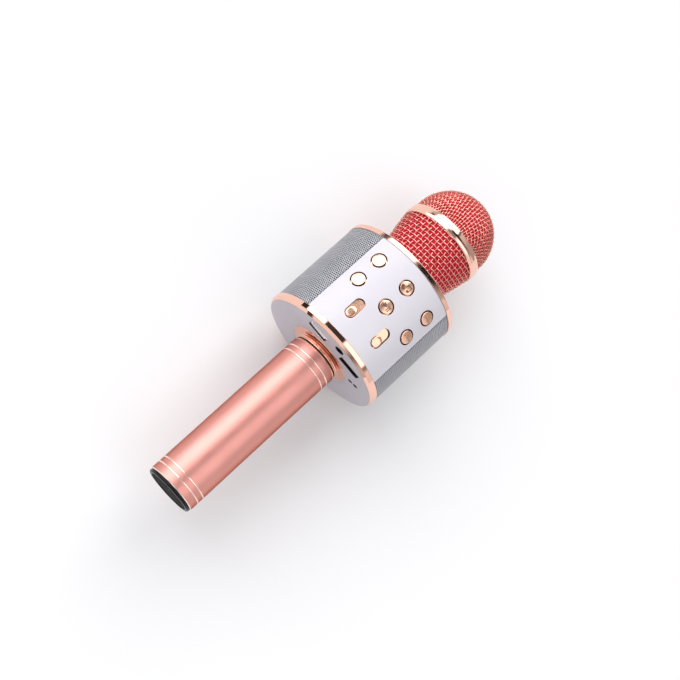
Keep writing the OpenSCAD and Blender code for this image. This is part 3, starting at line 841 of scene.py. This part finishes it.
# ------------------------------------------------------------------ finishes of the CAD nodes that stay
# card_slot takes the black port finish: painted shade on its flush face, standing for the depth of the slot.
keep = {"bottom_plate": "plate", "top_plate": "plate", "chassis": "black", "battery": "cell", "battery_sleeve": "pad", "collar_nut": "steel",
        "speaker_screws": "steel", "main_board": "pcb", "board_screws": "steel", "board_parts": "black", "key_board": "flex", "tact_switches": "black",
        "slide_switches": "steel", "left_switch_lever": "black", "right_switch_lever": "black", "usb_tongue": "white", "card_slot": "port", "aux_jack": "port",
        "status_led": "led", "head_socket": "black", "head_nut": "steel", "capsule_post": "black", "capsule_cup": "pad", "capsule": "steel"}
for side in ("left", "right"):
    keep[side + "_speaker_basket"] = "steel"
    keep[side + "_speaker_cone"] = "cone"
    keep[side + "_speaker_magnet"] = "magnet"
    keep[side + "_speaker_gasket"] = "pad"
for n, key in keep.items():
    me = nodes[n].data
    me.materials.clear()
    me.materials.append(M[key])
    me.polygons.foreach_set("material_index", [0] * len(me.polygons))

# ------------------------------------------------------------------ stage, light, camera
fm, nt, b = new_mat("floor")
v = coords(nt)
n1 = noise_tex(nt, v, 3, 3)
fc = ramp(nt, n1.outputs["Fac"], [(0.3, (0.80, 0.80, 0.80)), (0.7, (0.815, 0.815, 0.815))])
nt.links.new(fc.outputs["Color"], b.inputs["Base Color"])
b.inputs["Roughness"].default_value = 0.9
b.inputs["Specular IOR Level"].default_value = 0.0
L = 300.0
floor = make("floor", [(-L, -L, 0), (L, -L, 0), (L, L, 0), (-L, L, 0)], [(0, 1, 2, 3)], [fm])

world = bpy.data.worlds.new("studio")
scene.world = world
world.use_nodes = True
wn = world.node_tree
bg = wn.nodes["Background"]
tc = wn.nodes.new("ShaderNodeTexCoord")
sep = wn.nodes.new("ShaderNodeSeparateXYZ")
wn.links.new(tc.outputs["Generated"], sep.inputs[0])


def wmath(op, a, b=None, clamp=False):
    n = wn.nodes.new("ShaderNodeMath")
    n.operation = op
    n.use_clamp = clamp
    for i, v in enumerate((a, b)):
        if v is None:
            continue
        if isinstance(v, (int, float)):
            n.inputs[i].default_value = v
        else:
            wn.links.new(v, n.inputs[i])
    return n.outputs[0]


def wstep(v, lo, hi):
    n = wn.nodes.new("ShaderNodeMapRange")
    n.interpolation_type = "SMOOTHSTEP"
    n.inputs["From Min"].default_value = lo
    n.inputs["From Max"].default_value = hi
    wn.links.new(v, n.inputs["Value"])
    return n.outputs["Result"]


def wramp(fac, stops, tint=(1, 1, 1)):
    """Brightness over an angle in degrees."""
    r = wn.nodes.new("ShaderNodeValToRGB")
    e = r.color_ramp.elements
    while len(e) < len(stops):
        e.new(0.5)
    for el, (a, val) in zip(e, stops):
        el.position = (a + 180) / 360
        el.color = (val / 4 * tint[0], val / 4 * tint[1], val / 4 * tint[2], 1)
    wn.links.new(fac, r.inputs["Fac"])
    return r.outputs["Color"]


def wmix(f, a, b):
    n = wn.nodes.new("ShaderNodeMix")
    n.data_type = "RGBA"
    wn.links.new(f, n.inputs["Factor"])
    wn.links.new(a, n.inputs[6])
    wn.links.new(b, n.inputs[7])
    return n.outputs[2]


# a long lamp on either side of the long axis, the left one wrapping round beyond the head; angles run from straight up towards +Y
X = sep.outputs["X"]
ang = wmath("MULTIPLY", wmath("ARCTAN2", sep.outputs["Y"], sep.outputs["Z"]), 1 / (2 * math.pi))
ang = wmath("ADD", ang, 0.5)
wrap = wmath("MULTIPLY", wmath("MINIMUM", wmath("MAXIMUM", wmath("SUBTRACT", X, 0.345), 0.0), 0.05), 870 / 360)
angw = wmath("ADD", ang, wrap)
foot = wramp(ang, [(-95, 0.6), (-70, 0.6), (-58, 0.35), (-48, 0.2), (-35, 0.45), (-22, 0.8), (-14, 0.95), (76, 0.95), (80, 0.06), (96, 0.06), (100, 0.5)])
grip = wramp(ang, [(-100, 0.95), (-66, 0.95), (-58, 1.1), (-50, 1.55), (-14, 1.7), (-4, 0.32), (18, 0.32), (30, 3.1), (78, 3.1), (90, 1.6), (97, 0.6)], (1, 1, 1.06))
low = wramp(angw, [(-100, 0.8), (-68, 0.85), (-62, 0.3), (-57, 0.3), (-54, 1.8), (-7, 1.8), (-3, 0.05), (36, 0.05), (40, 3.0), (75, 3.0), (78, 0.03), (91, 0.03), (95, 0.5)])
row = wramp(angw, [(-100, 0.45), (-88, 0.2), (-57, 0.2), (-54, 1.8), (-7, 1.8), (-3, 0.05), (36, 0.05), (40, 3.0), (75, 3.0), (78, 0.03), (91, 0.03), (95, 0.5)])
mid = wramp(angw, [(-66, 0.88), (-50, 0.85), (-44, 0.68), (-37, 0.33), (-28, 0.37), (-20, 0.14), (-12, 0.035), (-6, 0.015), (36, 0.015), (40, 3.0), (91, 3.0), (95, 0.05), (106, 0.05), (110, 0.9)])
far = wramp(angw, [(-57, 0.8), (-41, 0.45), (0, 0.45), (8, 0.6), (24, 0.75), (31, 0.7), (34, 0.2), (38, 0.2), (42, 3.0), (107, 3.0), (112, 0.6), (124, 0.6), (130, 1.0)])
sky = wmix(wstep(X, -0.25, -0.02), foot, grip)
sky = wmix(wstep(X, 0.245, 0.275), sky, low)
sky = wmix(wstep(X, 0.303, 0.318), sky, row)
sky = wmix(wstep(X, 0.356, 0.37), sky, mid)
sky = wmix(wstep(X, 0.385, 0.402), sky, far)
wn.links.new(sky, bg.inputs["Color"])
bg.inputs["Strength"].default_value = 4.0

scene.view_settings.view_transform = "Standard"
scene.view_settings.look = "None"

T, PHI, INP = math.radians(17.05), math.radians(8.26), math.radians(-0.40)
ROLL = math.radians(41.98721)
ax = Vector((1, 0, 0))
zf = Vector((0, math.sin(PHI), math.cos(PHI)))
yf = Vector((0, -math.cos(PHI), math.sin(PHI)))
xc = ax * math.cos(T) + zf * math.sin(T)
zc = ax * -math.sin(T) + zf * math.cos(T)
rx = xc * math.cos(INP) - yf * math.sin(INP)
ry = xc * math.sin(INP) + yf * math.cos(INP)
right = rx * math.cos(ROLL) + ry * math.sin(ROLL)
down = rx * -math.sin(ROLL) + ry * math.cos(ROLL)
up = -down
loc = Vector(((-82.19 - S_MID) * MM, 94.64 * MM, (AXIS_Z + 666.5) * MM))
cam = bpy.data.cameras.new("camera")
cam.sensor_width = 36
cam.lens = 1267.6 / 680 * 36
cam.clip_start = 0.01
co = bpy.data.objects.new("camera", cam)
co.matrix_world = Matrix(((right.x, up.x, zc.x, loc.x), (right.y, up.y, zc.y, loc.y), (right.z, up.z, zc.z, loc.z), (0, 0, 0, 1)))
scene.collection.objects.link(co)
scene.camera = co
